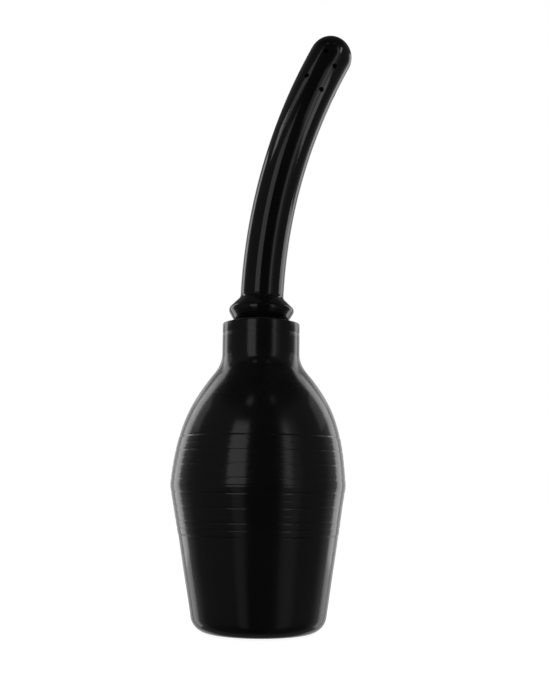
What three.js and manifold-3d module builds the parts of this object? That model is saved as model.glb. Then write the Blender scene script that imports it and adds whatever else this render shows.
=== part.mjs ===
// Squeeze bulb with a curved, perforated nozzle.
//
// A soft hollow bulb stands on its flat base.  A hard bush lines its neck, and the nozzle's
// spigot turns in that bush and pulls out of it, so that the bulb can be filled.  The spigot
// holds a spring-loaded ball valve, and the curved tube above it ends in a dome with spray holes.
//
// Millimetres, +Z up.  The origin is the centre of the flat base, +Z is the bulb's axis and the
// nozzle curves towards +X.

import * as THREE from 'three';
import { mergeVertices } from 'three/addons/utils/BufferGeometryUtils.js';
import Module from 'manifold-3d';

const wasm = await Module();
wasm.setup();

// ---------------------------------------------------------------- driving dimensions

const GAP = 0.3;                    // clearance between pieces that touch

const BULB_WAIST_RADIUS = 40.1;     // widest ring of the bulb
const BULB_WAIST_Z = 66;
const BULB_CONE_SLOPE = 0.154;      // the lower wall leans in by this much for each mm of height
const BULB_BASE_FILLET = 8;
const BULB_WALL = 2.6;
const SHOULDER_HANDLES = [[37.8, 89.8], [35.5, 100.1]];   // the curve above the waist: radius, height
const SHOULDER_TOP = [23.45, 115.8];                      // it turns from bulging to hollow here
const THROAT_HANDLES = [[21.9, 117.85], [18, 121.6]];

const GROOVE_COUNT = 15;            // grip grooves round the waist, half of them above it
const GROOVE_PITCH = 3.2;
const GROOVE_WIDTH = 1.1;
const GROOVE_DEPTH = 0.25;

const NECK_RADIUS = 18;
const NECK_FOOT_Z = 127.4;          // the shoulder's curve ends here in the straight neck
const NECK_TOP_Z = 141.5;
const NECK_EDGE = 0.4;              // rounding of the neck's rim
const EDGE_MIDDLE = 0.3;            // how far in from the corner a rounded edge passes, as a share
const NECK_BORE_RADIUS = 14;
const NECK_BORE_FOOT_Z = 120;

const BUSH_RADIUS = NECK_BORE_RADIUS - GAP;
const BUSH_BORE_RADIUS = 11;
const BUSH_FOOT_Z = 120.6;
const BUSH_TOP_Z = 141.2;
const BARB_HEIGHT = 0.9;            // rings round the bush that lock it into the soft neck
const BARB_LENGTH = 2.4;
const BARB_RAMP = 0.75;             // share of a barb's length that is its ramp
const BARB_FEET_Z = [124.5, 132.5];

const SPIGOT_RADIUS = BUSH_BORE_RADIUS - GAP;
const SPIGOT_BORE_RADIUS = 8;
const SPIGOT_FOOT_Z = 117;
const SPIGOT_STEP_Z = 136.3;        // the spigot's bore narrows here to the tube's bore
const SPIGOT_LEAD_IN = 0.6;         // chamfer that guides the spigot into the bush, by twice this height

const RING_GROOVE_Z = 139;
const RING_GROOVE_RADIUS = 9.4;
const RING_SECTION_RADIUS = 0.7;
const RING_CENTRE_RADIUS = 10.2;

const GASKET_RADIUS = 13.2;
const GASKET_THICKNESS = 1.1;
const GASKET_FOOT_Z = NECK_TOP_Z + GAP;

const COLLAR_FOOT_RADIUS = 12.9;
const COLLAR_FOOT_Z = GASKET_FOOT_Z + GASKET_THICKNESS + GAP;
const COLLAR_EDGE_RADIUS = 14.8;    // where the collar's two cones end at its rounded edge
const COLLAR_EDGE_LOW_Z = 147.1;
const COLLAR_EDGE_HIGH_Z = 149.1;
const COLLAR_EDGE_BULGE = 0.55;
const COLLAR_FLARE_RADIUS = 10.9;   // the upper cone's top, where it hollows into the tube
const COLLAR_FLARE_Z = 153.3;
const COLLAR_TOP_Z = 155.2;

const TUBE_RADIUS = 10.2;
const TUBE_BORE_RADIUS = 7.2;
const TENON_RADIUS = 8.8;           // the tube's thinner foot, glued into the collar's socket
const TENON_FOOT_Z = 146.3;
const TUBE_BEND_RADIUS = 271.5;     // the tube's axis is one arc that starts upright
const TUBE_BEND_START_Z = 144;
const TUBE_BEND_LENGTH = 132.7;     // along the arc, to the centre of the domed tip

const SPRAY_HOLE_RADIUS = 1;
const SPRAY_HOLES_PER_RING = 3;
const SPRAY_RINGS = [               // distance below the dome's centre, turn from the front
  { below: 2.0, turn: -11 },
  { below: 6.2, turn: 29 },
  { below: 16.2, turn: -29 },
  { below: 19.6, turn: 25 },
];

const VALVE_RADIUS = SPIGOT_BORE_RADIUS - GAP;
const SEAT_FOOT_Z = SPIGOT_FOOT_Z + GAP;
const SEAT_TOP_Z = 120.5;
const SEAT_HOLE_RADIUS = 3;
const SEAT_CONE_HEIGHT = 2.1;       // a 45 degree cone that the ball rests in
const BALL_RADIUS = 4.5;
const BALL_Z = 122;
const BALL_LIFT = 2.5;
const BALL_STOP_GAP = 0.1;
const CAGE_FOOT_Z = SEAT_TOP_Z + GAP;
const CAGE_TOP_Z = SPIGOT_STEP_Z - GAP;
const CAGE_BORE_RADIUS = 6.7;
const CAGE_SPOKE_HEIGHT = 2.5;
const CAGE_SPOKE_WIDTH = 1.6;
const CAGE_SPOKES = 3;
const CAGE_HUB_RADIUS = 2.7;
const CAGE_PEG_RADIUS = 1.2;        // stops the ball at the end of its lift
const SPRING_RADIUS = 2;
const SPRING_WIRE_RADIUS = 0.22;
const SPRING_TURNS = 4;

const ROUND_SEGMENTS = 40;          // sides of the bulb and of the pieces round its neck
const SMALL_SEGMENTS = 28;          // sides of the tube and the valve's pieces
const TUBE_ROW = 9;                 // height of one row of the tube's facets

// ---------------------------------------------------------------- materials

const SOFT_VINYL = { color: 0x101011, roughness: 0.42, metalness: 0 };
const GLOSS_PLASTIC = { color: 0x070708, roughness: 0.12, metalness: 0 };
const SEAL_RUBBER = { color: 0x161616, roughness: 0.7, metalness: 0 };
const MATTE_PLASTIC = { color: 0x1b1b1d, roughness: 0.5, metalness: 0 };
const STEEL = { color: 0xb4b6b8, roughness: 0.25, metalness: 1 };

// ---------------------------------------------------------------- helpers

const point = (r, z) => new THREE.Vector2(r, z);

/** Turns an outline of (radius, height) points about the Z axis. */
function turned(outline, segments = ROUND_SEGMENTS) {
  return new THREE.LatheGeometry(outline, segments).rotateX(Math.PI / 2);
}

/** The outline closed back on its first point, for a ring that doesn't reach the axis. */
const ring = (outline, segments) => turned([...outline, outline[0].clone()], segments);

/** Joins coincident corners and drops the slivers that a lathe leaves on its axis. */
function welded(geometry) {
  const bare = geometry.clone();
  bare.deleteAttribute('normal');
  bare.deleteAttribute('uv');
  const merged = mergeVertices(bare, 1e-4);
  const kept = [];
  const index = merged.index.array;
  for (let i = 0; i < index.length; i += 3) {
    const [a, b, c] = [index[i], index[i + 1], index[i + 2]];
    if (a !== b && b !== c && c !== a) kept.push(a, b, c);
  }
  merged.setIndex(kept);
  return merged;
}

/** A closed geometry as a solid that can be joined and cut. */
function solid(geometry) {
  const merged = welded(geometry);
  return new wasm.Manifold(new wasm.Mesh({
    numProp: 3,
    vertProperties: new Float32Array(merged.attributes.position.array),
    triVerts: new Uint32Array(merged.index.array),
  }));
}

/** The surface of a solid, as a geometry. */
function surface(body) {
  const mesh = body.getMesh();
  const geometry = new THREE.BufferGeometry();
  geometry.setAttribute('position', new THREE.BufferAttribute(mesh.vertProperties, 3));
  geometry.setIndex(new THREE.BufferAttribute(mesh.triVerts, 1));
  return geometry;
}

/** Bends a piece built along +Z so that its axis follows the nozzle's arc towards +X. */
function bent(geometry) {
  const place = geometry.attributes.position;
  for (let i = 0; i < place.count; i += 1) {
    const along = place.getZ(i) - TUBE_BEND_START_Z;
    if (along <= 0) continue;
    const angle = along / TUBE_BEND_RADIUS;
    const reach = TUBE_BEND_RADIUS - place.getX(i);
    place.setX(i, TUBE_BEND_RADIUS - reach * Math.cos(angle));
    place.setZ(i, TUBE_BEND_START_Z + reach * Math.sin(angle));
  }
  return geometry;
}

/** A named mesh with its own material. */
function piece(name, geometry, finish) {
  geometry.computeVertexNormals();
  const mesh = new THREE.Mesh(geometry, new THREE.MeshStandardMaterial(finish));
  mesh.name = name;
  return mesh;
}

/** Points up or down a straight wall, one for each row of facets, both ends included. */
function rows(radius, fromZ, toZ) {
  const count = Math.max(1, Math.round(Math.abs(toZ - fromZ) / TUBE_ROW));
  return Array.from({ length: count + 1 }, (_, i) => point(radius, fromZ + (toZ - fromZ) * i / count));
}

// ---------------------------------------------------------------- bulb and neck

/** Radius of the bulb's lower cone at a height. */
const coneRadius = (z) => BULB_WAIST_RADIUS - BULB_CONE_SLOPE * (BULB_WAIST_Z - z);

/** The plain outer wall from the edge of the flat base up to the foot of the straight neck. */
function bulbPlainWall() {
  const lean = Math.atan(BULB_CONE_SLOPE);
  const filletR = coneRadius(BULB_BASE_FILLET) - BULB_BASE_FILLET / Math.cos(lean);
  const fillet = new THREE.EllipseCurve(
    filletR, BULB_BASE_FILLET, BULB_BASE_FILLET, BULB_BASE_FILLET, -Math.PI / 2, -lean);
  const coneMiddleZ = (BULB_BASE_FILLET + BULB_WAIST_Z) / 2;
  const shoulder = new THREE.CubicBezierCurve(
    point(BULB_WAIST_RADIUS, BULB_WAIST_Z),
    ...SHOULDER_HANDLES.map((p) => point(...p)),
    point(...SHOULDER_TOP));
  const throat = new THREE.CubicBezierCurve(
    point(...SHOULDER_TOP),
    ...THROAT_HANDLES.map((p) => point(...p)),
    point(NECK_RADIUS, NECK_FOOT_Z));
  return [
    ...fillet.getPoints(5), point(coneRadius(coneMiddleZ), coneMiddleZ),
    ...shoulder.getPoints(11), ...throat.getPoints(5).slice(1)];
}

/** Radius of an outline at a height, between the two points on either side of it. */
function radiusAt(outline, z) {
  const next = outline.findIndex((p) => p.y > z);
  const [low, high] = [outline[next - 1], outline[next]];
  return low.x + (high.x - low.x) * (z - low.y) / (high.y - low.y);
}

/** The outer wall with its grip grooves, each a shallow V centred on its height. */
function bulbGroovedWall(plain) {
  const lowestZ = BULB_WAIST_Z - GROOVE_PITCH * (GROOVE_COUNT - 1) / 2;
  const grooves = Array.from({ length: GROOVE_COUNT }, (_, i) => lowestZ + GROOVE_PITCH * i);
  const cuts = grooves.flatMap((z) => [
    point(radiusAt(plain, z - GROOVE_WIDTH / 2), z - GROOVE_WIDTH / 2),
    point(radiusAt(plain, z) - GROOVE_DEPTH, z),
    point(radiusAt(plain, z + GROOVE_WIDTH / 2), z + GROOVE_WIDTH / 2),
  ]);
  return [
    ...plain.filter((p) => p.y < grooves[0] - GROOVE_PITCH / 2),
    ...cuts,
    ...plain.filter((p) => p.y > grooves.at(-1) + GROOVE_PITCH / 2),
  ];
}

/** The wall's inside: the plain wall moved in by the wall's thickness, square to itself. */
function bulbInnerWall(plain) {
  return plain.map((p, i) => {
    const before = plain[Math.max(i - 1, 0)];
    const after = plain[Math.min(i + 1, plain.length - 1)];
    const run = point(after.x - before.x, after.y - before.y).normalize();
    return point(p.x - run.y * BULB_WALL, p.y + run.x * BULB_WALL);
  });
}

/** One barb's outline on a wall of the given radius: a ramp below and a square step on top. */
const barb = (radius, footZ) => [
  point(radius, footZ),
  point(radius + BARB_HEIGHT, footZ + BARB_LENGTH * BARB_RAMP),
  point(radius + BARB_HEIGHT, footZ + BARB_LENGTH),
  point(radius, footZ + BARB_LENGTH),
];

function bulbBody() {
  const plain = bulbPlainWall();
  const inner = bulbInnerWall(plain).filter((p) => p.y < NECK_BORE_FOOT_Z - 2);
  const bore = [
    point(NECK_BORE_RADIUS, NECK_BORE_FOOT_Z),
    ...BARB_FEET_Z.flatMap((z) => barb(NECK_BORE_RADIUS, z)),
    point(NECK_BORE_RADIUS, NECK_TOP_Z),
  ];
  return turned([
    point(0, 0),
    ...bulbGroovedWall(plain),
    point(NECK_RADIUS, NECK_TOP_Z - NECK_EDGE),
    point(NECK_RADIUS - NECK_EDGE * EDGE_MIDDLE, NECK_TOP_Z - NECK_EDGE * EDGE_MIDDLE),
    point(NECK_RADIUS - NECK_EDGE, NECK_TOP_Z),
    ...bore.reverse(),
    ...inner.reverse(),
    point(0, BULB_WALL),
  ]);
}

function neckBush() {
  return ring([
    point(BUSH_BORE_RADIUS, BUSH_FOOT_Z),
    point(BUSH_RADIUS, BUSH_FOOT_Z),
    ...BARB_FEET_Z.flatMap((z) => barb(BUSH_RADIUS, z - GAP)),
    point(BUSH_RADIUS, BUSH_TOP_Z),
    point(BUSH_BORE_RADIUS + GAP, BUSH_TOP_Z),
    point(BUSH_BORE_RADIUS, BUSH_TOP_Z - 2 * GAP),
  ]);
}

// ---------------------------------------------------------------- seals

function collarGasket() {
  const topZ = GASKET_FOOT_Z + GASKET_THICKNESS;
  return ring([
    point(BUSH_BORE_RADIUS, GASKET_FOOT_Z),
    point(GASKET_RADIUS, GASKET_FOOT_Z),
    point(GASKET_RADIUS, topZ),
    point(BUSH_BORE_RADIUS, topZ),
  ]);
}

function spigotORing() {
  return new THREE.TorusGeometry(RING_CENTRE_RADIUS, RING_SECTION_RADIUS, 8, ROUND_SEGMENTS)
    .translate(0, 0, RING_GROOVE_Z);
}

// ---------------------------------------------------------------- nozzle

/** Grip collar with two cones, a socket for the tube above and the spigot below. */
function nozzleCollar() {
  const halfGroove = RING_SECTION_RADIUS + GAP;
  const edge = new THREE.QuadraticBezierCurve(
    point(COLLAR_EDGE_RADIUS, COLLAR_EDGE_LOW_Z),
    point(COLLAR_EDGE_RADIUS + COLLAR_EDGE_BULGE, (COLLAR_EDGE_LOW_Z + COLLAR_EDGE_HIGH_Z) / 2),
    point(COLLAR_EDGE_RADIUS, COLLAR_EDGE_HIGH_Z));
  const flare = new THREE.QuadraticBezierCurve(
    point(COLLAR_FLARE_RADIUS, COLLAR_FLARE_Z),
    point(TUBE_RADIUS, COLLAR_FLARE_Z + COLLAR_FLARE_RADIUS - TUBE_RADIUS),
    point(TUBE_RADIUS, COLLAR_TOP_Z));
  return bent(ring([
    point(SPIGOT_BORE_RADIUS, SPIGOT_FOOT_Z),
    point(SPIGOT_RADIUS - SPIGOT_LEAD_IN, SPIGOT_FOOT_Z),
    point(SPIGOT_RADIUS, SPIGOT_FOOT_Z + 2 * SPIGOT_LEAD_IN),
    point(SPIGOT_RADIUS, RING_GROOVE_Z - halfGroove),
    point(RING_GROOVE_RADIUS, RING_GROOVE_Z - halfGroove),
    point(RING_GROOVE_RADIUS, RING_GROOVE_Z + halfGroove),
    point(SPIGOT_RADIUS, RING_GROOVE_Z + halfGroove),
    point(SPIGOT_RADIUS, COLLAR_FOOT_Z),
    point(COLLAR_FOOT_RADIUS, COLLAR_FOOT_Z),
    ...edge.getPoints(4),
    ...flare.getPoints(3),
    point(TENON_RADIUS + GAP, COLLAR_TOP_Z),
    point(TENON_RADIUS + GAP, TENON_FOOT_Z - GAP),
    point(TUBE_BORE_RADIUS, TENON_FOOT_Z - GAP),
    point(TUBE_BORE_RADIUS, SPIGOT_STEP_Z),
    point(SPIGOT_BORE_RADIUS, SPIGOT_STEP_Z),
  ]));
}

/** A thin cylinder across the tube's wall at a height, pointing out at a turn from the front. */
function sprayHole(z, turn) {
  return solid(new THREE.CylinderGeometry(SPRAY_HOLE_RADIUS, SPRAY_HOLE_RADIUS, TUBE_RADIUS, 12)
    .translate(0, -TUBE_RADIUS, 0)
    .rotateZ(THREE.MathUtils.degToRad(turn))
    .translate(0, 0, z));
}

/** Hollow tube with a domed tip and a thinner tenon at its foot, drilled, then bent. */
function nozzleTube() {
  const footZ = COLLAR_TOP_Z + GAP;
  const domeZ = TUBE_BEND_START_Z + TUBE_BEND_LENGTH;
  const dome = new THREE.EllipseCurve(0, domeZ, TUBE_RADIUS, TUBE_RADIUS, 0, Math.PI / 2);
  const ceiling = new THREE.EllipseCurve(
    0, domeZ, TUBE_BORE_RADIUS, TUBE_BORE_RADIUS, Math.PI / 2, 0, true);
  let tube = solid(turned([
    ...rows(TENON_RADIUS, TENON_FOOT_Z, footZ),
    ...rows(TUBE_RADIUS, footZ, domeZ),
    ...dome.getPoints(6).slice(1, -1),
    point(0, domeZ + TUBE_RADIUS),
    point(0, domeZ + TUBE_BORE_RADIUS),
    ...ceiling.getPoints(4).slice(1, -1),
    ...rows(TUBE_BORE_RADIUS, domeZ, TENON_FOOT_Z),
    point(TENON_RADIUS, TENON_FOOT_Z),
  ], SMALL_SEGMENTS));
  for (const { below, turn } of SPRAY_RINGS) {
    for (let i = 0; i < SPRAY_HOLES_PER_RING; i += 1) {
      tube = tube.subtract(sprayHole(domeZ - below, turn + 360 * i / SPRAY_HOLES_PER_RING));
    }
  }
  return bent(surface(tube));
}

// ---------------------------------------------------------------- valve in the spigot

function valveSeat() {
  return ring([
    point(SEAT_HOLE_RADIUS, SEAT_FOOT_Z),
    point(VALVE_RADIUS, SEAT_FOOT_Z),
    point(VALVE_RADIUS, SEAT_TOP_Z),
    point(SEAT_HOLE_RADIUS + SEAT_CONE_HEIGHT, SEAT_TOP_Z),
    point(SEAT_HOLE_RADIUS, SEAT_TOP_Z - SEAT_CONE_HEIGHT),
  ], SMALL_SEGMENTS);
}

function valveBall() {
  return new THREE.SphereGeometry(BALL_RADIUS, 24, 16).rotateX(Math.PI / 2).translate(0, 0, BALL_Z);
}

/** Sleeve over the ball, with a spoked top that carries the spring and the ball's stop. */
function valveCage() {
  const spokeZ = CAGE_TOP_Z - CAGE_SPOKE_HEIGHT;
  const stopZ = BALL_Z + BALL_RADIUS + BALL_LIFT + BALL_STOP_GAP;
  let cage = solid(ring([
    point(CAGE_BORE_RADIUS, CAGE_FOOT_Z),
    point(VALVE_RADIUS, CAGE_FOOT_Z),
    point(VALVE_RADIUS, CAGE_TOP_Z),
    point(CAGE_BORE_RADIUS, CAGE_TOP_Z),
  ], SMALL_SEGMENTS));
  cage = cage.add(solid(turned([
    point(0, stopZ),
    point(CAGE_PEG_RADIUS, stopZ),
    point(CAGE_PEG_RADIUS, spokeZ),
    point(CAGE_HUB_RADIUS, spokeZ),
    point(CAGE_HUB_RADIUS, CAGE_TOP_Z),
    point(0, CAGE_TOP_Z),
  ], SMALL_SEGMENTS)));
  const reach = (CAGE_BORE_RADIUS + VALVE_RADIUS) / 2;
  for (let i = 0; i < CAGE_SPOKES; i += 1) {
    cage = cage.add(solid(new THREE.BoxGeometry(reach, CAGE_SPOKE_WIDTH, CAGE_SPOKE_HEIGHT - 2 * GAP)
      .translate(reach / 2, 0, CAGE_TOP_Z - CAGE_SPOKE_HEIGHT / 2)
      .rotateZ(2 * Math.PI * i / CAGE_SPOKES)));
  }
  return surface(cage);
}

/** Centre line of the valve's spring, a helix about the Z axis. */
class Helix extends THREE.Curve {
  constructor(radius, footZ, topZ, turns) {
    super();
    Object.assign(this, { radius, footZ, topZ, turns });
  }

  getPoint(t, target = new THREE.Vector3()) {
    const angle = 2 * Math.PI * this.turns * t;
    return target.set(
      this.radius * Math.cos(angle), this.radius * Math.sin(angle),
      this.footZ + (this.topZ - this.footZ) * t);
  }
}

function valveSpring() {
  const clear = SPRING_WIRE_RADIUS + GAP / 2;
  const footZ = BALL_Z + Math.sqrt((BALL_RADIUS + clear) ** 2 - SPRING_RADIUS ** 2);
  const topZ = CAGE_TOP_Z - CAGE_SPOKE_HEIGHT - clear;
  const wire = new THREE.Shape().absarc(0, 0, SPRING_WIRE_RADIUS, 0, 2 * Math.PI);
  return new THREE.ExtrudeGeometry(wire, {
    curveSegments: 3,
    steps: SPRING_TURNS * 12,
    extrudePath: new Helix(SPRING_RADIUS, footZ, topZ, SPRING_TURNS),
  });
}

// ---------------------------------------------------------------- the assembly

const bulb = new THREE.Group().add(
  piece('bulb_body', bulbBody(), SOFT_VINYL),
  piece('neck_bush', neckBush(), MATTE_PLASTIC));

const seals = new THREE.Group().add(
  piece('collar_gasket', collarGasket(), SEAL_RUBBER),
  piece('spigot_o_ring', spigotORing(), SEAL_RUBBER));

const valve = new THREE.Group().add(
  piece('valve_seat', valveSeat(), MATTE_PLASTIC),
  piece('valve_ball', valveBall(), STEEL),
  piece('valve_spring', valveSpring(), STEEL),
  piece('valve_cage', valveCage(), MATTE_PLASTIC));

const nozzle = new THREE.Group().add(
  piece('nozzle_collar', nozzleCollar(), GLOSS_PLASTIC),
  piece('nozzle_tube', nozzleTube(), GLOSS_PLASTIC),
  valve);

export default new THREE.Group().add(bulb, seals, nozzle);
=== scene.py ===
"""Looks of the squeeze bulb with a curved nozzle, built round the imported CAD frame.

Outlines are in millimetres, in the frame's own axes: +Z is the bulb's axis, the origin is the
centre of its flat base, and the nozzle curves towards +X.  Every visible piece is a fine mesh
that replaces its CAD node and rides on that node's body.
"""

import math

import bmesh
import bpy
import numpy as np
from mathutils import Matrix, Vector


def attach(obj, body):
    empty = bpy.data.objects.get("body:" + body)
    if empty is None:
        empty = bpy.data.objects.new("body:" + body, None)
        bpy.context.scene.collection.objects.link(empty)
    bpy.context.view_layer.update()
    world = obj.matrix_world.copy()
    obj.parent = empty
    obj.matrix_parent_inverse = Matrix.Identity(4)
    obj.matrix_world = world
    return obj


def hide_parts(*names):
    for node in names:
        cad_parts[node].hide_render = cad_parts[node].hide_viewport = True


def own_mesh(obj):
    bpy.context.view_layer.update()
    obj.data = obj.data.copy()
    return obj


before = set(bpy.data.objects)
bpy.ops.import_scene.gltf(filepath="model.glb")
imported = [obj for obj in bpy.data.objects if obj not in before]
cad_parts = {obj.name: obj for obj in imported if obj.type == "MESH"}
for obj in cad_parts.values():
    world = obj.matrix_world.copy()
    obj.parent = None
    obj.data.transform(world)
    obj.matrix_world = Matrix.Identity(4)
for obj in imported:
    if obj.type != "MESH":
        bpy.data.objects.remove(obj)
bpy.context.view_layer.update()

MM = 0.001
MERGE_DISTANCE = 1e-7               # metres

# ------------------------------------------------------------------ driving sizes, millimetres

GAP = 0.3                           # clearance between pieces that fit into one another

# The bulb's wall: a cone up to the waist, then a shoulder and a throat, each one cubic curve.
WAIST_RADIUS = 40.1
WAIST_Z = 66.0
CONE_SLOPE = 0.154                  # radius gained with each millimetre of height
BASE_FILLET = 8.0
WALL = 2.6
NECK_RADIUS = 18.0
NECK_FOOT_Z = 127.4
NECK_TOP_Z = 141.5
SHOULDER_HANDLES = ((37.8, 89.8), (35.5, 100.1))
SHOULDER_TOP = (23.45, 115.8)
THROAT_HANDLES = ((21.9, 117.85), (NECK_RADIUS, 121.6))

# The grip grooves, from the lowest up, in a band that stands a little proud of the plain wall.
GROOVE_PITCH = 3.2
GROOVE_WIDTH = 1.35
GROOVE_DEPTHS = (
    0.13, 0.1, 0.11, 0.05, 0.1, 0.05, 0.12, 0.13, 0.12, 0.05, 0.12, 0.06, 0.12, 0.05, 0.14)
BAND_STEP = 0.12
BAND_FADE = (22.1, 23.1)            # distances from the waist over which the band ends
FINE_REACH = 24.4                   # the wall is finely divided this far either side of the waist
FINE_ROWS = 230

# The neck: a faint line moulded round it, a flat rim, and a bore grooved for the bush's barbs.
NECK_LINE_Z = (136.2, 136.6, 136.8, 137.2)
NECK_LINE_DEPTH = 0.1
RIM_FILLET = 0.45
RIM_INNER_RADIUS = 14.6
RIM_CHAMFER = 0.6
NECK_BORE_RADIUS = 14.0
NECK_BORE_FOOT_Z = 120.0
BARB_FEET_Z = (124.5, 132.5)
BARB_LENGTH = 2.4
BARB_HEIGHT = 0.9
BARB_RAMP = 0.75                    # the share of a barb's length that slopes

# How the soft moulding has settled.  A shift is (how far, about which height, over what height),
# and a span is the two heights between which something sets in.
SHOULDER_SHIFT = (0.4, 110.0, 16.0)
WAIST_SHIFT = (-0.45, 60.0, 16.0)
LEFT_SIDE_SHIFT = (-0.25, 76.0, 15.0)
FOOT_SHIFT = 0.3
FOOT_SPAN = (30.0, 8.0)
NECK_SPAN = (116.0, 128.0)
WAVES_SPAN = (4.0, 40.0)
WAVES_END_SPAN = (112.0, 126.0)
OVAL_WAVE = 0.0016                  # waves round the bulb, as shares of its radius
LOBE_WAVE = 0.0011
OVAL_TURN = 0.6                     # radians
LOBE_TWIST = 0.09                   # radians per millimetre of height

BUSH_BORE_RADIUS = 11.0
BUSH_FOOT_Z = 120.6
BUSH_TOP_Z = 141.2

GASKET_RADIUS = 13.2
GASKET_FOOT_Z = 141.8
GASKET_TOP_Z = 142.9

# The collar and the spigot under it, with the groove that the o-ring sits in.
SPIGOT_RADIUS = 10.7
SPIGOT_BORE_RADIUS = 8.0
SPIGOT_FOOT_Z = 117.0
SPIGOT_STEP_Z = 136.3               # where its bore steps in to the tube's bore
LEAD_IN_DEPTH = 0.6
LEAD_IN_LENGTH = 1.2
RING_GROOVE_Z = 139.0
RING_GROOVE_RADIUS = 9.4
RING_CENTRE = 10.2
RING_SECTION = 0.7                  # radius of the ring's own section
COLLAR_FOOT_RADIUS = 12.9
COLLAR_FOOT_Z = 143.2
COLLAR_NOSE = ((15.25, 147.3), (15.1, 148.9))
COLLAR_FLARE = ((13.1, 150.9), (11.8, 152.4), (10.15, 153.2), (10.1, 155.0))
COLLAR_TOP_Z = 155.2
COLLAR_TOP_EASE = 0.06              # how far the flare's last edge is drawn in

# The tube, with heights along its own axis as if it were straight.
TUBE_RADIUS = 10.2
TUBE_BORE_RADIUS = 7.2
TENON_RADIUS = 8.8
TENON_FOOT_Z = 146.3
TENON_CHAMFER = 0.3
JOINT_LINE = 0.03                   # the gap that shows between the collar and the tube
TUBE_FOOT_SHARE = 0.992             # the foot's thickness as a share of the tip's
SWELL_SPAN = (205.0, 255.0)
BEND_RADIUS = 271.5
BEND_START_Z = 144.0
BEND_LENGTH = 132.7
TUBE_ROW_STEP = 1.9
TIP_LENGTH = 21.0                   # the stretch with the holes, which is finely divided
TIP_ROWS = 30
BORE_ROW_STEP = 4.0

# Spray holes.  A ring is (how far below the dome's centre, where its first hole points, in degrees
# from the front).
HOLE_RADIUS = 1.0
HOLE_FLARE = 0.28
HOLE_FLARE_DEPTH = 0.45
HOLES_PER_RING = 3
HOLE_RINGS = ((2.0, -11.0), (6.2, 29.0), (16.2, -29.0), (19.6, 25.0))
DRILL_START = 6.0                   # inside the bore
DRILL_END = 11.7                    # outside the wall

# The valve in the spigot: a coned seat, a ball on it, a spring, and a cage with spokes.
VALVE_RADIUS = SPIGOT_BORE_RADIUS - GAP
SEAT_FOOT_Z = 117.3
SEAT_TOP_Z = 120.5
SEAT_HOLE_RADIUS = 3.0
SEAT_CONE = 2.1
BALL_RADIUS = 4.5
BALL_Z = 122.0
BALL_LIFT = 2.5
CAGE_FOOT_Z = 120.8
CAGE_TOP_Z = 136.0
CAGE_BORE_RADIUS = 6.7
SPOKES = 3
SPOKE_Z = 133.5
SPOKE_WIDTH = 1.6
HUB_RADIUS = 2.7
HUB_CHAMFER = 0.2
PEG_RADIUS = 1.2
PEG_CLEARANCE = 0.1                 # between the peg and the ball at full lift
SPRING_RADIUS = 2.0
WIRE_RADIUS = 0.22
SPRING_TURNS = 4
SPRING_STEPS = 36                   # rows of mesh in one turn

# ------------------------------------------------------------------ outlines


def arc(centre, radius, start, end, count):
    """Points on an arc in the (radius, height) plane, angles in degrees from the +radius side."""
    angles = np.radians(np.linspace(start, end, count))
    return [(centre[0] + radius * math.cos(a), centre[1] + radius * math.sin(a)) for a in angles]


def bezier(p0, p1, p2, p3, count):
    """Points on a cubic curve, both ends included."""
    points = np.array([p0, p1, p2, p3], float)
    curve = []
    for t in np.linspace(0, 1, count):
        weights = ((1 - t) ** 3, 3 * (1 - t) ** 2 * t, 3 * (1 - t) * t * t, t ** 3)
        curve.append(tuple(np.dot(weights, points)))
    return curve


def filleted(corners, steps=5):
    """An outline through corners (radius, height, fillet), with each corner rounded off."""
    out = []
    count = len(corners)
    for i, (r, z, fillet) in enumerate(corners):
        here = Vector((r, z))
        back = Vector(corners[i - 1][:2]) - here
        ahead = Vector(corners[(i + 1) % count][:2]) - here
        reach = min(fillet, 0.49 * back.length, 0.49 * ahead.length)
        if reach <= 0:
            out.append((r, z))
            continue
        start = here + back.normalized() * reach
        end = here + ahead.normalized() * reach
        for t in np.linspace(0, 1, steps):
            p = start * (1 - t) ** 2 + here * 2 * t * (1 - t) + end * t * t
            out.append((p.x, p.y))
    return out


def dense(outline, step):
    """The same outline with points added so that none are further apart than step."""
    out = [outline[0]]
    for (r0, z0), (r1, z1) in zip(outline, outline[1:]):
        count = max(1, math.ceil(math.hypot(r1 - r0, z1 - z0) / step))
        for i in range(1, count + 1):
            t = i / count
            out.append((r0 + (r1 - r0) * t, z0 + (z1 - z0) * t))
    return out


def smoothstep(start, end, value):
    """Rises smoothly from 0 at start to 1 at end, whichever of the two is the larger."""
    t = np.clip((value - start) / (end - start), 0, 1)
    return t * t * (3 - 2 * t)


# ------------------------------------------------------------------ mesh helpers


def mesh_object(name, vertices, faces, sharp=32):
    """An object from points in millimetres, smooth but for edges sharper than sharp degrees."""
    mesh = bpy.data.meshes.new(name)
    mesh.from_pydata([tuple(v) for v in np.asarray(vertices) * MM], [], faces)
    obj = bpy.data.objects.new(name, mesh)
    bpy.context.scene.collection.objects.link(obj)
    tidy(obj, sharp)
    return obj


def tidy(obj, sharp=32):
    """Merges doubles, turns the faces outwards and sets which edges are sharp."""
    work = bmesh.new()
    work.from_mesh(obj.data)
    bmesh.ops.remove_doubles(work, verts=work.verts, dist=MERGE_DISTANCE)
    bmesh.ops.dissolve_degenerate(work, edges=work.edges, dist=MERGE_DISTANCE)
    bmesh.ops.recalc_face_normals(work, faces=work.faces)
    work.to_mesh(obj.data)
    work.free()
    obj.data.shade_smooth()
    obj.data.set_sharp_from_angle(angle=math.radians(sharp))


def circle(sides):
    """Angles evenly spaced round a circle."""
    return np.arange(sides) * 2 * math.pi / sides


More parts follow.
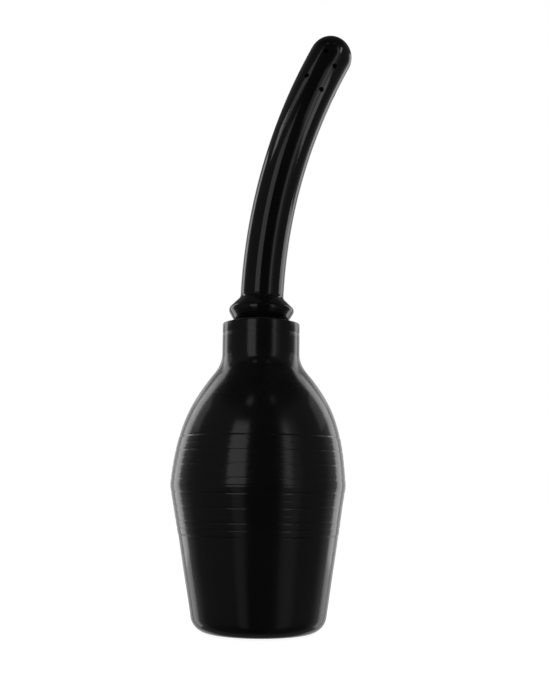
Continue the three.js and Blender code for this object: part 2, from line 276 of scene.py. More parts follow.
def turned(name, outline, sides, closed=True, sharp=32):
    """A solid turned about Z.  A closed outline is a ring's; an open one ends on the axis."""
    points = np.array(outline, float)
    angles = circle(sides)
    vertices = []
    for r, z in points:
        vertices += [(r * math.cos(a), r * math.sin(a), z) for a in angles]
    rows = len(points) if closed else len(points) - 1
    faces = []
    for i in range(rows):
        low = i * sides
        high = ((i + 1) % len(points)) * sides
        for j in range(sides):
            k = (j + 1) % sides
            faces.append((low + j, low + k, high + k, high + j))
    return mesh_object(name, vertices, faces, sharp)


def swept(name, centres, radius, sides):
    """A round wire along a list of points, with closed ends."""
    centres = np.asarray(centres, float)
    ahead = np.gradient(centres, axis=0)
    ahead /= np.linalg.norm(ahead, axis=1)[:, None]
    side = np.cross(ahead, (0, 0, 1))
    side /= np.linalg.norm(side, axis=1)[:, None]
    up = np.cross(side, ahead)
    angles = circle(sides)
    vertices = []
    for centre, s, u in zip(centres, side, up):
        for a in angles:
            vertices.append(centre + radius * (s * math.cos(a) + u * math.sin(a)))
    faces = []
    last = (len(centres) - 1) * sides
    for low in range(0, last, sides):
        for j in range(sides):
            k = (j + 1) % sides
            faces.append((low + j, low + k, low + sides + k, low + sides + j))
    faces.append(tuple(range(sides)))
    faces.append(tuple(last + j for j in reversed(range(sides))))
    return mesh_object(name, vertices, faces)


def block(name, low, high):
    """A plain block between two opposite corners."""
    corners = [(x, y, z) for x in (low[0], high[0]) for y in (low[1], high[1])
               for z in (low[2], high[2])]
    faces = [(0, 1, 3, 2), (4, 6, 7, 5), (0, 4, 5, 1), (2, 3, 7, 6), (0, 2, 6, 4), (1, 5, 7, 3)]
    return mesh_object(name, corners, faces)


def moved(obj, change):
    """Passes the object's points, in millimetres, through a function of an array."""
    flat = np.empty(len(obj.data.vertices) * 3)
    obj.data.vertices.foreach_get("co", flat)
    points = change(flat.reshape(-1, 3) / MM) * MM
    obj.data.vertices.foreach_set("co", points.ravel())
    obj.data.update()
    return obj


def bend(points):
    """Bends what was built straight up so that its axis follows the nozzle's arc."""
    along = points[:, 2] - BEND_START_Z
    angle = along / BEND_RADIUS
    reach = BEND_RADIUS - points[:, 0]
    curved = np.column_stack([
        BEND_RADIUS - reach * np.cos(angle),
        points[:, 1],
        BEND_START_Z + reach * np.sin(angle),
    ])
    return np.where(along[:, None] > 0, curved, points)


def combine(obj, tools, operation):
    """Joins or cuts an object with other solids, which are used up."""
    for tool in tools:
        cut = obj.modifiers.new("cut", "BOOLEAN")
        cut.operation = operation
        cut.solver = "EXACT"
        cut.object = tool
    result = obj.evaluated_get(bpy.context.evaluated_depsgraph_get())
    mesh = bpy.data.meshes.new_from_object(result)
    obj.modifiers.clear()
    obj.data = mesh
    for tool in tools:
        bpy.data.objects.remove(tool)
    return obj


# ------------------------------------------------------------------ the bulb


def cone_radius(z):
    """The outer radius of the cone below the waist."""
    return WAIST_RADIUS - CONE_SLOPE * (WAIST_Z - z)


def plain_wall():
    """The bulb's outer wall without its grooves, from the base's fillet to the neck."""
    lean = math.degrees(math.atan(CONE_SLOPE))
    fillet_r = cone_radius(BASE_FILLET) - BASE_FILLET / math.cos(math.radians(lean))
    shoulder = bezier((WAIST_RADIUS, WAIST_Z), *SHOULDER_HANDLES, SHOULDER_TOP, 60)
    throat = bezier(SHOULDER_TOP, *THROAT_HANDLES, (NECK_RADIUS, NECK_FOOT_Z), 24)
    return arc((fillet_r, BASE_FILLET), BASE_FILLET, -90, -lean, 14) + shoulder + throat[1:]


def groove_depth(z):
    """How far the wall is cut in by the grip grooves, less what their band stands proud."""
    middle = len(GROOVE_DEPTHS) // 2
    from_waist = z - WAIST_Z
    nearest = int(np.clip(round(from_waist / GROOVE_PITCH), -middle, middle))
    offset = abs(from_waist - nearest * GROOVE_PITCH)
    cut = GROOVE_DEPTHS[nearest + middle] * (1 - smoothstep(0, GROOVE_WIDTH / 2, offset))
    band = BAND_STEP * (1 - smoothstep(*BAND_FADE, abs(from_waist)))
    return cut - band


def neck_outside():
    """The neck's outside, with the faint line moulded round it, and its rim.  The rim's first
    corner only says which way it rises, so its point is left out."""
    low, inset_low, inset_high, high = NECK_LINE_Z
    inset = NECK_RADIUS - NECK_LINE_DEPTH
    plain = dense([(NECK_RADIUS, NECK_FOOT_Z), (NECK_RADIUS, low)], 2)[1:]
    line = [(inset, inset_low), (inset, inset_high), (NECK_RADIUS, high)]
    rim = filleted([
        (NECK_RADIUS, inset_low, 0),
        (NECK_RADIUS, NECK_TOP_Z, RIM_FILLET),
        (RIM_INNER_RADIUS, NECK_TOP_Z, 0),
    ], 6)[1:]
    return plain + line + rim


def neck_bore():
    """The neck's bore from the rim down, with a groove for each of the bush's barbs."""
    deep = NECK_BORE_RADIUS + BARB_HEIGHT
    bore = [(NECK_BORE_RADIUS, NECK_TOP_Z - RIM_CHAMFER)]
    for foot in reversed(BARB_FEET_Z):
        bore += [
            (NECK_BORE_RADIUS, foot + BARB_LENGTH),
            (deep, foot + BARB_LENGTH),
            (deep, foot + BARB_LENGTH * BARB_RAMP),
            (NECK_BORE_RADIUS, foot),
        ]
    bore.append((NECK_BORE_RADIUS, NECK_BORE_FOOT_Z))
    return bore


def inner_wall(wall):
    """The plain wall moved in by the wall's thickness, square to itself.  A third of its points
    are enough inside, and they stop 2 mm short of the neck's bore."""
    points = np.array(wall)[::3]
    run = np.gradient(points, axis=0)
    run /= np.linalg.norm(run, axis=1)[:, None]
    inner = points + WALL * np.column_stack([-run[:, 1], run[:, 0]])
    return [tuple(p) for p in inner if p[1] < NECK_BORE_FOOT_Z - 2]


def bulb_outline():
    """The bulb's section, from the middle of its base up the outside and down the inside."""
    wall = plain_wall()
    radii, heights = np.array(wall).T
    fine_low = WAIST_Z - FINE_REACH
    fine_high = WAIST_Z + FINE_REACH
    base = [p for p in wall if p[1] <= BASE_FILLET]
    below = dense(base + [(cone_radius(fine_low), fine_low)], 3)
    grooved = [(np.interp(z, heights, radii) - groove_depth(z), z)
               for z in np.linspace(fine_low, fine_high, FINE_ROWS)[1:]]
    above = [p for p in wall if p[1] > fine_high]
    outside = below + grooved + above + neck_outside()
    inside = neck_bore() + inner_wall(wall)[::-1] + [(0, WALL)]
    return [(0, 0)] + outside + inside


def hump(height, shift):
    """How far a shift moves the wall at each height."""
    far, centre, spread = shift
    return far * np.exp(-((height - centre) / spread) ** 2)


def settle(points):
    """The slight lean and unevenness that a soft moulding takes as it stands."""
    height = points[:, 2]
    turn = np.arctan2(points[:, 1], points[:, 0])
    out = points.copy()
    out[:, 0] += hump(height, SHOULDER_SHIFT) * (1 - smoothstep(*NECK_SPAN, height))
    out[:, 0] += hump(height, WAIST_SHIFT)
    out[:, 0] += hump(height, LEFT_SIDE_SHIFT) * (1 - np.cos(turn))
    out[:, 0] += FOOT_SHIFT * smoothstep(*FOOT_SPAN, height)
    soft = smoothstep(*WAVES_SPAN, height) * (1 - smoothstep(*WAVES_END_SPAN, height))
    oval = OVAL_WAVE * np.sin(2 * turn + OVAL_TURN)
    lobes = LOBE_WAVE * np.sin(3 * turn + LOBE_TWIST * height)
    swell = 1 + soft * (oval + lobes)
    out[:, 0] *= swell
    out[:, 1] *= swell
    return out


def make_bulb():
    """The soft moulding, turned and then let settle."""
    bulb = turned("bulb_moulding", bulb_outline(), sides=192, closed=False, sharp=50)
    return moved(bulb, settle)


def make_bush():
    """The barbed sleeve that lines the neck."""
    radius = NECK_BORE_RADIUS - GAP
    outline = [(BUSH_BORE_RADIUS, BUSH_FOOT_Z, 0.3), (radius, BUSH_FOOT_Z, 0.4)]
    for foot in BARB_FEET_Z:
        low = foot - GAP
        outline += [
            (radius, low, 0.1),
            (radius + BARB_HEIGHT, low + BARB_LENGTH * BARB_RAMP, 0.15),
            (radius + BARB_HEIGHT, low + BARB_LENGTH, 0.1),
            (radius, low + BARB_LENGTH, 0.1),
        ]
    outline += [(radius, BUSH_TOP_Z, 0.35), (BUSH_BORE_RADIUS, BUSH_TOP_Z, 0.6)]
    return turned("bush_sleeve", filleted(outline, 4), sides=128)


# ------------------------------------------------------------------ the seals


def make_gasket():
    """The flat ring between the collar and the neck's rim."""
    outline = [
        (BUSH_BORE_RADIUS, GASKET_FOOT_Z, 0.2),
        (GASKET_RADIUS, GASKET_FOOT_Z, 0.3),
        (GASKET_RADIUS, GASKET_TOP_Z, 0.3),
        (BUSH_BORE_RADIUS, GASKET_TOP_Z, 0.2),
    ]
    return turned("gasket_ring", filleted(outline, 5), sides=128)


def make_o_ring():
    """The round ring in the spigot's groove."""
    section = arc((RING_CENTRE, RING_GROOVE_Z), RING_SECTION, 0, 360, 25)[:-1]
    return turned("o_ring_seal", section, sides=128)


# ------------------------------------------------------------------ the nozzle


def make_collar():
    """The grip collar, with its spigot below and the socket for the tube's tenon above."""
    groove_low = RING_GROOVE_Z - (RING_SECTION + GAP)
    groove_high = RING_GROOVE_Z + (RING_SECTION + GAP)
    socket_radius = TENON_RADIUS + GAP
    socket_z = TENON_FOOT_Z - GAP
    outline = filleted([
        (SPIGOT_BORE_RADIUS, SPIGOT_FOOT_Z, 0.3),
        (SPIGOT_RADIUS - LEAD_IN_DEPTH, SPIGOT_FOOT_Z, 0.4),
        (SPIGOT_RADIUS, SPIGOT_FOOT_Z + LEAD_IN_LENGTH, 0.5),
        (SPIGOT_RADIUS, groove_low, 0.15),
        (RING_GROOVE_RADIUS, groove_low, 0.2),
        (RING_GROOVE_RADIUS, groove_high, 0.2),
        (SPIGOT_RADIUS, groove_high, 0.15),
        (SPIGOT_RADIUS, COLLAR_FOOT_Z, 0.25),
        (COLLAR_FOOT_RADIUS, COLLAR_FOOT_Z, 0.35),
        *[(r, z, 1.0) for r, z in COLLAR_NOSE],
        *[(r, z, 0.0) for r, z in bezier(*COLLAR_FLARE, 12)],
        (COLLAR_FLARE[-1][0] - COLLAR_TOP_EASE, COLLAR_TOP_Z, 0.0),
        (socket_radius, COLLAR_TOP_Z, 0.1),
        (socket_radius, socket_z, 0.3),
        (TUBE_BORE_RADIUS, socket_z, 0.2),
        (TUBE_BORE_RADIUS, SPIGOT_STEP_Z, 0.2),
        (SPIGOT_BORE_RADIUS, SPIGOT_STEP_Z, 0.2),
    ], 7)
    return moved(turned("collar_moulding", outline, sides=160), bend)


def tube_outside(foot, dome_z):
    """The tube's outside, from its tenon up to the middle of its dome.  The tenon's foot is
    chamfered, so the four points of its rounded corner are left out.  Rows of points keep a
    millimetre or more clear of the edge that they lead to."""
    shoulder = filleted([
        (TENON_RADIUS, TENON_FOOT_Z, 0.3),
        (TENON_RADIUS, foot, 0),
        (TUBE_RADIUS, foot, 0.12),
    ], 4)[4:]
    tenon = [
        (TENON_RADIUS - TENON_CHAMFER, TENON_FOOT_Z),
        (TENON_RADIUS, TENON_FOOT_Z + TENON_CHAMFER),
    ]
    rows = np.arange(foot + 1.5, dome_z - TIP_LENGTH - 1, TUBE_ROW_STEP)
    fine_rows = np.linspace(dome_z - TIP_LENGTH, dome_z, TIP_ROWS)
    sides = [(TUBE_RADIUS, z) for z in (*rows, *fine_rows)]
    dome = arc((0, dome_z), TUBE_RADIUS, 0, 90, 22)[1:-1] + [(0, dome_z + TUBE_RADIUS)]
    return dense(tenon + shoulder, 3) + sides + dome


def tube_inside(dome_z):
    """The tube's bore, from the middle of its dome down to its tenon."""
    ceiling = [(0, dome_z + TUBE_BORE_RADIUS)] + arc((0, dome_z), TUBE_BORE_RADIUS, 90, 0, 12)[1:]
    rows = np.arange(dome_z - 3, TENON_FOOT_Z + 1, -BORE_ROW_STEP)
    return ceiling + [(TUBE_BORE_RADIUS, z) for z in rows] + [(TUBE_BORE_RADIUS, TENON_FOOT_Z)]


def swell_to_tip(points):
    """The tube is a little thinner at its foot than at its tip."""
    share = TUBE_FOOT_SHARE + (1 - TUBE_FOOT_SHARE) * smoothstep(*SWELL_SPAN, points[:, 2])
    return points * np.column_stack([share, share, np.ones(len(points))])


def hole_cutter(z, turn):
    """A drill with a slightly flared mouth, pointing out through the tube's wall."""
    mouth = HOLE_RADIUS + HOLE_FLARE
    drill = turned("drill", [
        (0, DRILL_START),
        (HOLE_RADIUS, DRILL_START),
        (HOLE_RADIUS, TUBE_RADIUS - HOLE_FLARE_DEPTH),
        (mouth, TUBE_RADIUS + 0.1),
        (mouth, DRILL_END),
        (0, DRILL_END),
    ], sides=28, closed=False)
    aim = Matrix.Rotation(math.radians(turn), 4, "Z") @ Matrix.Rotation(math.radians(90), 4, "X")
    drill.data.transform(Matrix.Translation((0, 0, z * MM)) @ aim)
    return drill


def make_tube():
    """The tube, turned straight, drilled and then bent."""
    foot = COLLAR_TOP_Z + JOINT_LINE
    dome_z = BEND_START_Z + BEND_LENGTH
    outline = tube_outside(foot, dome_z) + tube_inside(dome_z)
    tube = moved(turned("tube_moulding", outline, sides=128), swell_to_tip)
    drills = [hole_cutter(dome_z - below, turn + 360 * i / HOLES_PER_RING)
              for below, turn in HOLE_RINGS for i in range(HOLES_PER_RING)]
    combine(tube, drills, "DIFFERENCE")
    tidy(tube, sharp=28)
    return moved(tube, bend)


# ------------------------------------------------------------------ the valve


def make_seat():
    """The ring that the ball closes, coned where the ball rests."""
    outline = [
        (SEAT_HOLE_RADIUS, SEAT_FOOT_Z, 0.3),
        (VALVE_RADIUS, SEAT_FOOT_Z, 0.3),
        (VALVE_RADIUS, SEAT_TOP_Z, 0.2),
        (SEAT_HOLE_RADIUS + SEAT_CONE, SEAT_TOP_Z, 0.2),
        (SEAT_HOLE_RADIUS, SEAT_TOP_Z - SEAT_CONE, 0.1),
    ]
    return turned("seat_ring", filleted(outline, 5), sides=96)


def cage_hub():
    """The middle of the cage's top, with the peg that stops the ball."""
    stop_z = BALL_Z + BALL_RADIUS + BALL_LIFT + PEG_CLEARANCE
    return turned("hub", [
        (0, stop_z),
        (PEG_RADIUS - HUB_CHAMFER, stop_z),
        (PEG_RADIUS, stop_z + HUB_CHAMFER),
        (PEG_RADIUS, SPOKE_Z),
        (HUB_RADIUS, SPOKE_Z),
        (HUB_RADIUS, CAGE_TOP_Z - HUB_CHAMFER),
        (HUB_RADIUS - HUB_CHAMFER, CAGE_TOP_Z),
        (0, CAGE_TOP_Z),
    ], sides=48, closed=False)


def cage_spoke(turn):
    """One spoke, from the axis into the middle of the sleeve's wall."""
    reach = (CAGE_BORE_RADIUS + VALVE_RADIUS) / 2
    half = SPOKE_WIDTH / 2
    spoke = block("spoke", (0, -half, SPOKE_Z + GAP), (reach, half, CAGE_TOP_Z - GAP))
    spoke.data.transform(Matrix.Rotation(math.radians(turn), 4, "Z"))
    return spoke


def make_cage():
    """The sleeve over the seat, whose spokes hold the spring and the peg."""
    sleeve = turned("cage_sleeve", filleted([
        (CAGE_BORE_RADIUS, CAGE_FOOT_Z, 0.15),
        (VALVE_RADIUS, CAGE_FOOT_Z, 0.2),
        (VALVE_RADIUS, CAGE_TOP_Z, 0.2),
        (CAGE_BORE_RADIUS, CAGE_TOP_Z, 0.15),
    ], 4), sides=96)
    spokes = [cage_spoke(360 * i / SPOKES) for i in range(SPOKES)]
    cage = combine(sleeve, [cage_hub()] + spokes, "UNION")
    tidy(cage)
    return cage


def make_ball():
    """The ball, whose outline starts and ends exactly on its axis."""
    outline = arc((0, BALL_Z), BALL_RADIUS, -90, 90, 40)
    outline[0] = (0, BALL_Z - BALL_RADIUS)
    outline[-1] = (0, BALL_Z + BALL_RADIUS)
    return turned("check_ball", outline, sides=64, closed=False)


def spring_ends():
    """Heights of the spring's wire at the ball and at the cage."""
    clear = WIRE_RADIUS + GAP / 2
    foot = BALL_Z + math.sqrt((BALL_RADIUS + clear) ** 2 - SPRING_RADIUS ** 2)
    return foot, SPOKE_Z - clear


def make_spring():
    """The spring between the ball and the cage's spokes."""
    foot, top = spring_ends()
    turns = np.linspace(0, 1, SPRING_TURNS * SPRING_STEPS + 1)
    angles = 2 * math.pi * SPRING_TURNS * turns
    centres = np.column_stack([
        SPRING_RADIUS * np.cos(angles),
        SPRING_RADIUS * np.sin(angles),
        foot + (top - foot) * turns,
    ])
    return swept("ball_spring", centres, WIRE_RADIUS, sides=10)


# ------------------------------------------------------------------ node helpers


class Nodes:
    """A small helper that adds nodes to one tree."""

    def __init__(self, tree):
        self.tree = tree

    def node(self, kind, settings=None, **inputs):
        """A new node.  Inputs are named as their sockets are, with _ for a space."""
        made = self.tree.nodes.new(kind)
        for key, value in (settings or {}).items():
            setattr(made, key, value)
        for key, value in inputs.items():
            self.feed(made.inputs[key.replace("_", " ")], value)
        return made

    def feed(self, socket, value):
        """Links another node's output to a socket, or sets the socket's own value."""
        if isinstance(value, bpy.types.NodeSocket):
            self.tree.links.new(value, socket)
        else:
            socket.default_value = value

    def calc(self, operation, *values):
        """One step of arithmetic on values or on other nodes' outputs."""
        made = self.node("ShaderNodeMath", {"operation": operation})
        for socket, value in zip(made.inputs, values):
            self.feed(socket, value)
        return made.outputs[0]

    def sum(self, first, *rest):
        for value in rest:
            first = self.calc("ADD", first, value)
        return first

    def product(self, first, *rest):
        for value in rest:
            first = self.calc("MULTIPLY", first, value)
        return first

    def span(self, value, low, high, to_low, to_high):
        """Maps low..high to to_low..to_high with soft ends."""
        return self.node(
            "ShaderNodeMapRange", {"interpolation_type": "SMOOTHSTEP"}, Value=value,
            From_Min=low, From_Max=high, To_Min=to_low, To_Max=to_high).outputs[0]


class Shader(Nodes):
    """The nodes of one new material.  Noise scales are per metre, and depths in millimetres."""

    def __init__(self, name):
        self.material = bpy.data.materials.new(name)
        self.material.use_nodes = True
        super().__init__(self.material.node_tree)
        self.surface = self.tree.nodes["Principled BSDF"]
        self.place = self.tree.nodes.new("ShaderNodeTexCoord").outputs["Object"]

    def noise(self, scale, detail=3.0, roughness=0.55, stretch=(1, 1, 1)):
        """Noise fixed to the piece.  A stretch under 1 draws it out along that axis."""
        place = self.node("ShaderNodeMapping", Vector=self.place, Scale=stretch).outputs[0]
        return self.node(
            "ShaderNodeTexNoise", Vector=place, Scale=scale, Detail=detail, Roughness=roughness
        ).outputs["Fac"]

    def blend(self, factor, a, b):
        """Colour a where the factor is 0 and b where it is 1."""
        made = self.node("ShaderNodeMix", {"data_type": "RGBA"})
        self.feed(made.inputs[0], factor)
        self.feed(made.inputs[6], a)
        self.feed(made.inputs[7], b)
        return made.outputs[2]

    def bump(self, height, depth, strength=1.0, under=None):
        """A normal that shows the height, on top of what another bump shows."""
        made = self.node("ShaderNodeBump", Height=height, Strength=strength, Distance=depth * MM)
        if under is not None:
            self.feed(made.inputs["Normal"], under)
        return made.outputs[0]

    def finish(self, **inputs):
        """Feeds the surface's own sockets, and gives the material."""
        for key, value in inputs.items():
            self.feed(self.surface.inputs[key.replace("_", " ")], value)
        return self.material


class Sky(Nodes):
    """Brightness by direction, in degrees.  Turn is 0 towards the camera and grows to its right,
    away is turn without its sign, and rise is 0 at the horizon and grows upwards."""

    def __init__(self, tree):
        super().__init__(tree)
        direction = self.node("ShaderNodeTexCoord").outputs["Generated"]
        x, y, z = self.node("ShaderNodeSeparateXYZ", Vector=direction).outputs
        self.turn = self.calc("DEGREES", self.calc("ARCTAN2", x, self.calc("MULTIPLY", y, -1.0)))
        self.rise = self.calc("DEGREES", self.calc("ARCSINE", z))
        self.away = self.calc("ABSOLUTE", self.turn)

    def band(self, degrees, low, high, soft):
        """One between low and high, with edges as wide as twice soft."""
        up = self.span(degrees, low - soft, low + soft, 0.0, 1.0)
        return self.product(up, self.span(degrees, high - soft, high + soft, 1.0, 0.0))

    def patch(self, brightness, turn, rise):
        """A soft-edged rectangle, with each of its sides given as (low, high, soft)."""
        return self.product(
            brightness, self.band(self.turn, *turn), self.band(self.rise, *rise))


# ------------------------------------------------------------------ materials


def grey(value, tint=(1.0, 1.0, 1.0)):
    """A grey, or a grey with a slight tint."""
    return (value * tint[0], value * tint[1], value * tint[2], 1.0)


def soft_vinyl():
    """Satin moulded vinyl: fine grain, a faint ripple from the mould and a trace of dust."""
    s = Shader("soft_vinyl")
    cloud = s.noise(45, detail=4)
    grain = s.noise(1900, detail=2, roughness=0.6)
    pores = s.noise(620)
    ripple = s.noise(60, detail=2, roughness=0.4, stretch=(1, 1, 0.35))
    facing = s.node("ShaderNodeNewGeometry").outputs["Normal"]
    upward = s.span(s.node("ShaderNodeSeparateXYZ", Vector=facing).outputs[2], 0.1, 0.95, 0, 1)
    specks = s.span(s.noise(260, detail=5, roughness=0.7), 0.5, 0.72, 0, 0.55)
    dust = s.product(upward, specks)
    base = s.blend(s.span(cloud, 0.35, 0.7, 0, 1), grey(0.015), grey(0.019, (1, 1, 1.05)))
    colour = s.blend(dust, base, grey(0.03, (1, 0.98, 0.94)))
    rough = s.sum(
        s.span(cloud, 0.3, 0.75, 0.13, 0.17),
        s.span(pores, 0.35, 0.7, 0.0, 0.03),
        s.product(dust, 0.2))
    relief = s.bump(ripple, 0.05, 0.5)
    relief = s.bump(pores, 0.012, 0.5, relief)
    relief = s.bump(grain, 0.006, 0.5, relief)
    return s.finish(Base_Color=colour, Roughness=rough, IOR=1.5, Normal=relief)


def polished_plastic():
    """Hard black plastic, polished, with faint scuffs along the tube and light orange peel."""
    s = Shader("polished_plastic")
    smear = s.noise(38, detail=4, roughness=0.6)
    scuffs = s.noise(900, detail=2, roughness=0.5, stretch=(1, 1, 0.06))
    peel = s.noise(170, detail=2, roughness=0.4)
    base = s.blend(s.span(smear, 0.35, 0.7, 0, 1), grey(0.011), grey(0.014, (1, 1, 1.04)))
    rough = s.sum(s.span(smear, 0.35, 0.75, 0.07, 0.12), s.span(scuffs, 0.6, 0.78, 0.0, 0.08))
    relief = s.bump(peel, 0.012, 0.35)
    relief = s.bump(scuffs, 0.0015, 0.4, relief)
    return s.finish(Base_Color=worn_edges(s, base), Roughness=rough, IOR=1.5, Normal=relief)


def worn_edges(s, base):
    """The base colour, a little lighter on the edges that handling has rubbed."""
    worn = s.span(s.node("ShaderNodeNewGeometry").outputs["Pointiness"], 0.56, 0.7, 0, 0.5)
    return s.blend(worn, base, grey(0.03))


def seal_rubber():
    """Matt black rubber with a fine grain."""
    s = Shader("seal_rubber")
    grain = s.noise(1400)
    cloud = s.noise(140)
    base = s.blend(s.span(cloud, 0.35, 0.7, 0, 1), grey(0.012), grey(0.02))
    relief = s.bump(grain, 0.008, 0.6)
    return s.finish(Base_Color=base, Roughness=s.span(grain, 0.3, 0.7, 0.5, 0.66), Normal=relief)


def moulded_plastic(name, light, dark):
    """Plain moulded plastic with a spark-eroded grain."""
    s = Shader(name)
    grain = s.noise(1100)
    cloud = s.noise(90)
    base = s.blend(s.span(cloud, 0.3, 0.7, 0, 1), dark, light)
    relief = s.bump(grain, 0.01, 0.6)
    return s.finish(Base_Color=base, Roughness=s.span(grain, 0.3, 0.7, 0.38, 0.52), Normal=relief)


def steel():
    """Ground stainless steel."""
    s = Shader("stainless_steel")
    grind = s.noise(1500, roughness=0.6, stretch=(1, 1, 0.2))
    cloud = s.noise(200)
    base = s.blend(s.span(cloud, 0.35, 0.7, 0, 1), grey(0.5), grey(0.62, (1, 0.99, 0.97)))
    relief = s.bump(grind, 0.002, 0.4)
    return s.finish(
        Base_Color=base, Metallic=1.0, Roughness=s.span(grind, 0.3, 0.7, 0.16, 0.3), Normal=relief)


def white_sheet():
    """A pale sheet that glows a little, so that it looks as white as the photo's background."""
    s = Shader("white_sheet")
    mottle = s.span(s.noise(9), 0.3, 0.7, 0.84, 0.88)
    fibre = s.bump(s.noise(700), 0.02, 0.2)
    tone = s.node("ShaderNodeCombineColor", Red=mottle, Green=mottle, Blue=mottle).outputs[0]
    return s.finish(
        Base_Color=tone, Roughness=0.9, Emission_Color=(1, 1, 1, 1), Emission_Strength=0.93,
        Normal=fibre)


# ------------------------------------------------------------------ studio

# How bright the parts of the room are, where white is 1.
ROOM_GLOW = 0.012
BACKDROP_GLOW = 0.42
WALL_GLOW = 0.085
BACK_WALL_GLOW = 0.26

# Soft boxes and small lamps in front of the object: how bright each is, then (low, high, soft) in
# turn and in rise.
LEFT_BOX = (0.16, (-34.0, -18.0, 4.0), (-45.0, -4.0, 4.0))
RIGHT_BOX = (0.50, (36.0, 46.0, 4.0), (-8.0, 34.0, 7.0))
RIGHT_BOX_FRINGE = (0.10, (33.0, 58.0, 5.0), (-45.0, 36.0, 6.0))
LEFT_LAMP = (0.55, (-30.0, -18.0, 3.0), (54.0, 61.0, 2.0))
RIGHT_LAMP = (0.30, (24.0, 34.0, 3.0), (55.0, 61.0, 2.0))


def backdrop_glow(sky):
    """The white screen behind the object."""
    behind = sky.span(sky.away, 142.0, 154.0, 0.0, 1.0)
    return sky.product(BACKDROP_GLOW, behind, sky.band(sky.rise, -40.0, 23.5, 2.0))


def side_glow(sky):
    """Pale walls at both sides, brighter towards the back, and dimmer low down and high up."""
    side = sky.span(sky.away, 20.0, 46.0, 0.0, 1.0)
    walls = sky.product(WALL_GLOW, side, sky.span(sky.rise, 40.0, 56.0, 1.0, 0.12))
    back = sky.span(sky.away, 96.0, 124.0, 0.0, 1.0)
    back_walls = sky.product(BACK_WALL_GLOW, back, sky.span(sky.rise, 14.0, 26.0, 1.0, 0.1))
    return sky.product(sky.sum(walls, back_walls), sky.span(sky.rise, -45.0, -12.0, 0.3, 1.0))


def studio_world():
    """White to the camera.  What gloss reflects is a dim room with pale walls and soft boxes."""
    world = bpy.data.worlds.new("studio")
    bpy.context.scene.world = world
    world.use_nodes = True
    world.node_tree.nodes.clear()
    sky = Sky(world.node_tree)
    backdrop = backdrop_glow(sky)
    sides = side_glow(sky)
    left = sky.patch(*LEFT_BOX)
    right = sky.sum(sky.patch(*RIGHT_BOX), sky.patch(*RIGHT_BOX_FRINGE))
    lamps = sky.sum(sky.patch(*LEFT_LAMP), sky.patch(*RIGHT_LAMP))
    glow = sky.sum(backdrop, sides, left, right, lamps, ROOM_GLOW)
    to_camera = sky.node("ShaderNodeLightPath").outputs["Is Camera Ray"]
    strength = sky.calc("MAXIMUM", to_camera, glow)
    background = sky.node("ShaderNodeBackground", Color=(1, 1, 1, 1), Strength=strength)
    sky.node("ShaderNodeOutputWorld", Surface=background.outputs[0])


# Lights near the object.  Each is a rectangle along the line between its first two points, and it
# faces its third point.  Then come its width across the line, its radiance, and the group of the
# pieces that it lights, or None where it lights them all.
BULB_LIT = "bulb_lit"
TUBE_LIT = "tube_lit"
PANELS = {
    # Tall strips behind the object, which edge it with light.  Their feet are dimmer.
    "rim_left": ((-200, 139, -10), (-200, 139, 370), (0, 0, 180), 80, 1.65, None),
    "rim_left_low": ((-200, 139, -130), (-200, 139, -10), (0, 0, 40), 80, 0.85, None),
    "rim_right": ((194, 144, -10), (194, 144, 370), (0, 0, 180), 78, 1.5, None),
    "rim_right_low": ((194, 144, -130), (194, 144, -10), (0, 0, 40), 78, 0.8, None),
    # The main soft box, in front on the left.
    "key_left": ((-311, -611, 18), (-311, -611, 600), (0, 0, 130), 292, 0.72, None),
    # Wide, dim screens that only the bulb's shoulder shows.
    "side_left": ((-213, 149, 185), (-213, 149, 312), (0, 0, 100), 280, 0.34, BULB_LIT),
    "side_right": ((213, 149, 185), (213, 149, 312), (0, 0, 100), 280, 0.34, BULB_LIT),
    # A short strip for the right edge of the tube's foot.
    "rim_tube": ((211, 66, 150), (211, 66, 214), (10, 0, 190), 78, 1.5, TUBE_LIT),
    # Slanting strips for the two streaks half way up the tube, which fade upwards.
    "streak_left": ((-116, -12, 311), (-98, -43, 320), (12, 0, 240), 34, 1.8, TUBE_LIT),
    "streak_left_top": ((-98, -43, 320), (-50, -103, 367), (12, 0, 240), 34, 0.6, TUBE_LIT),
    "streak_right": ((146, -60, 237), (126, -88, 251), (22, 0, 240), 28, 1.3, TUBE_LIT),
    "streak_right_top": ((126, -88, 251), (80, -150, 284), (22, 0, 240), 28, 0.36, TUBE_LIT),
    # A narrow strip beside the tip.
    "tip_light": ((142, -94, 300), (146, -54, 364), (32, 0, 270), 18, 2.8, TUBE_LIT),
}

FLOOR_SIZE = 12.0                   # metres
FLOOR_CELLS = 20
FLOOR_DROP = 0.2                    # how far the floor lies below the base, in millimetres

CAMERA_DISTANCE = 480.0             # millimetres in front of the bulb's axis
CAMERA_HEIGHT = 63.8
CAMERA_SIDE = 6.75
CAMERA_PITCH = 5.77                 # degrees up
CAMERA_ROLL = 0.6
CAMERA_SHIFT = 0.06
SENSOR = 36.0                       # along the picture's longer side
LENS = 54.0


def light_group(name):
    """The collection of the pieces that some of the lights light alone."""
    return bpy.data.collections.get(name) or bpy.data.collections.new(name)


def panel(name, start, end, faces, width, radiance):
    """A rectangular light along the line from start to end, all in metres."""
    along = end - start
    middle = (start + end) / 2
    light = bpy.data.lights.new(name, "AREA")
    light.shape = "RECTANGLE"
    light.size = along.length
    light.size_y = width
    light.energy = radiance * math.pi * along.length * width
    x_axis = along.normalized()
    y_axis = (middle - faces).cross(x_axis).normalized()
    axes = Matrix((x_axis, y_axis, x_axis.cross(y_axis))).transposed()
    made = bpy.data.objects.new(name, light)
    bpy.context.scene.collection.objects.link(made)
    made.matrix_world = Matrix.Translation(middle) @ axes.to_4x4()
    made.visible_camera = False
    return made


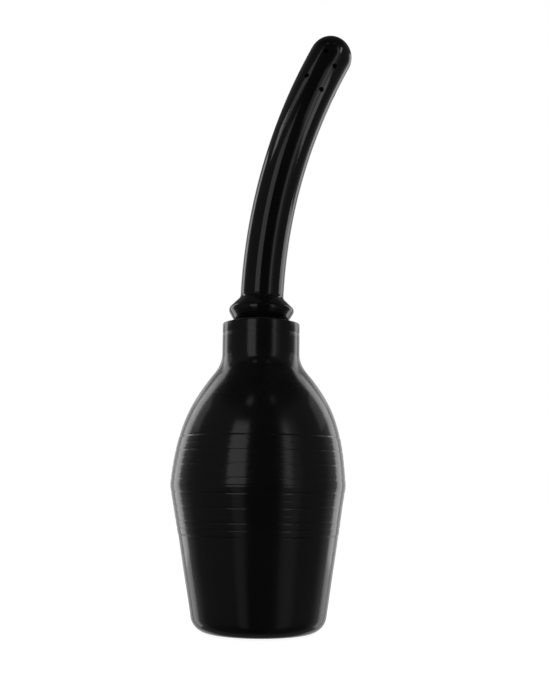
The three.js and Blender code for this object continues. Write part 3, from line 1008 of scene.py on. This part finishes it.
def make_panels():
    """The lights near the object, from the table above."""
    for name, (start, end, faces, width, radiance, group) in PANELS.items():
        start, end, faces = (Vector(point) * MM for point in (start, end, faces))
        made = panel(name, start, end, faces, width * MM, radiance)
        if group:
            made.light_linking.receiver_collection = light_group(group)


def make_floor():
    """A white floor that the camera sees, and that neither shades the object nor shows in it."""
    bpy.ops.mesh.primitive_grid_add(
        x_subdivisions=FLOOR_CELLS, y_subdivisions=FLOOR_CELLS, size=FLOOR_SIZE,
        location=(0, 0, -FLOOR_DROP * MM))
    floor = bpy.context.object
    floor.name = "floor"
    floor.data.materials.append(white_sheet())
    floor.visible_glossy = False
    floor.visible_diffuse = False
    floor.visible_shadow = False


def make_camera():
    """The camera, level with the waist and tipped up, where the photo's was."""
    data = bpy.data.cameras.new("camera")
    data.sensor_width = SENSOR
    data.lens = LENS
    data.shift_y = CAMERA_SHIFT
    data.clip_start = 0.01
    data.clip_end = 50
    camera = bpy.data.objects.new("camera", data)
    bpy.context.scene.collection.objects.link(camera)
    place = Matrix.Translation(Vector((CAMERA_SIDE, -CAMERA_DISTANCE, CAMERA_HEIGHT)) * MM)
    aim = Matrix.Rotation(math.radians(90 + CAMERA_PITCH), 4, "X")
    roll = Matrix.Rotation(math.radians(CAMERA_ROLL), 4, "Z")
    camera.matrix_world = place @ aim @ roll
    bpy.context.scene.camera = camera


# ------------------------------------------------------------------ assembly


def place(piece, material, body, node, slot):
    """Gives a piece its material and the body it moves with, and hides the CAD node that it stands
    for.
    """
    piece.data.materials.clear()
    piece.data.materials.append(material)
    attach(piece, body)
    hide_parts(node)
    return piece


def build():
    """Makes the ten pieces and puts each in the place of its CAD node."""
    vinyl = soft_vinyl()
    gloss = polished_plastic()
    rubber = seal_rubber()
    bush_plastic = moulded_plastic("bush_plastic", grey(0.022), grey(0.014))
    valve_plastic = moulded_plastic(
        "valve_plastic", grey(0.62, (1, 1, 0.97)), grey(0.52, (1, 1, 0.96)))
    metal = steel()
    bulb = place(make_bulb(), vinyl, "bulb", "bulb_body", "bulb_vinyl")
    light_group(BULB_LIT).objects.link(bulb)
    place(make_bush(), bush_plastic, "bulb", "neck_bush", "bush_plastic")
    place(make_gasket(), rubber, "seals", "collar_gasket", "seal_rubber")
    place(make_o_ring(), rubber, "seals", "spigot_o_ring", "seal_rubber")
    place(make_collar(), gloss, "nozzle", "nozzle_collar", "nozzle_plastic")
    tube = place(make_tube(), gloss, "nozzle", "nozzle_tube", "nozzle_plastic")
    light_group(TUBE_LIT).objects.link(tube)
    place(make_seat(), valve_plastic, "nozzle", "valve_seat", "valve_plastic")
    place(make_cage(), valve_plastic, "nozzle", "valve_cage", "valve_plastic")
    place(make_ball(), metal, "valve_ball", "valve_ball", "valve_steel")
    spring = place(make_spring(), metal, "nozzle", "valve_spring", "valve_steel")
    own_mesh(spring)


bpy.context.scene.view_settings.view_transform = "Standard"
make_camera()
studio_world()
make_panels()
make_floor()
build()
